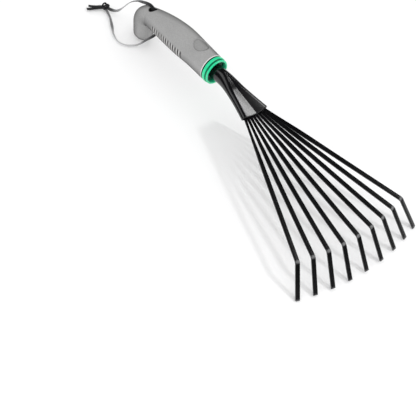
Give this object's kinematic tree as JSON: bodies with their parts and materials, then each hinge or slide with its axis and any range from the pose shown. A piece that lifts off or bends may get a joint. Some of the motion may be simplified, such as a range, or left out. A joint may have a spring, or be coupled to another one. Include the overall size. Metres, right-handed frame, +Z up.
{
  "type": "hand rake",
  "caption": "Hand rake: a fan of flat sprung tines with bent tips in a pressed steel ferrule, a moulded grip with a green collar, and a hanging cord.",
  "frame": {"origin": "on the ground, straight below the centre of the collar's front face, with the rake standing on its tine tips and on the heel of its grip", "axes": "+X from the grip towards the tines, +Y to the left of a person looking along +X, +Z up from the ground"},
  "size_m": [0.4593, 0.1868, 0.0701],
  "materials": {
    "grip_rubber": "matt moulded grip",
    "core_plastic": "glossy moulded plastic",
    "painted_steel": "satin black paint",
    "cord_fabric": "flat woven cord"
  },
  "bodies": {
    "rake": {"grip_sleeve": "grip_rubber", "handle_core": "core_plastic", "neck_ferrule": "painted_steel", "tine_1": "painted_steel", "tine_2": "painted_steel", "tine_3": "painted_steel", "tine_4": "painted_steel", "tine_5": "painted_steel", "tine_6": "painted_steel", "tine_7": "painted_steel", "tine_8": "painted_steel", "tine_9": "painted_steel"},
    "cord": {"hanging_cord": "cord_fabric"}
  },
  "joints": [
    {"name": "cord_swing", "type": "hinge", "parent": "rake", "child": "cord", "pos_m": [-0.10743, 0, 0.03946], "axis": [-0.4633, 0, 0.8862], "range_deg": [-4, 100]}
  ]
}
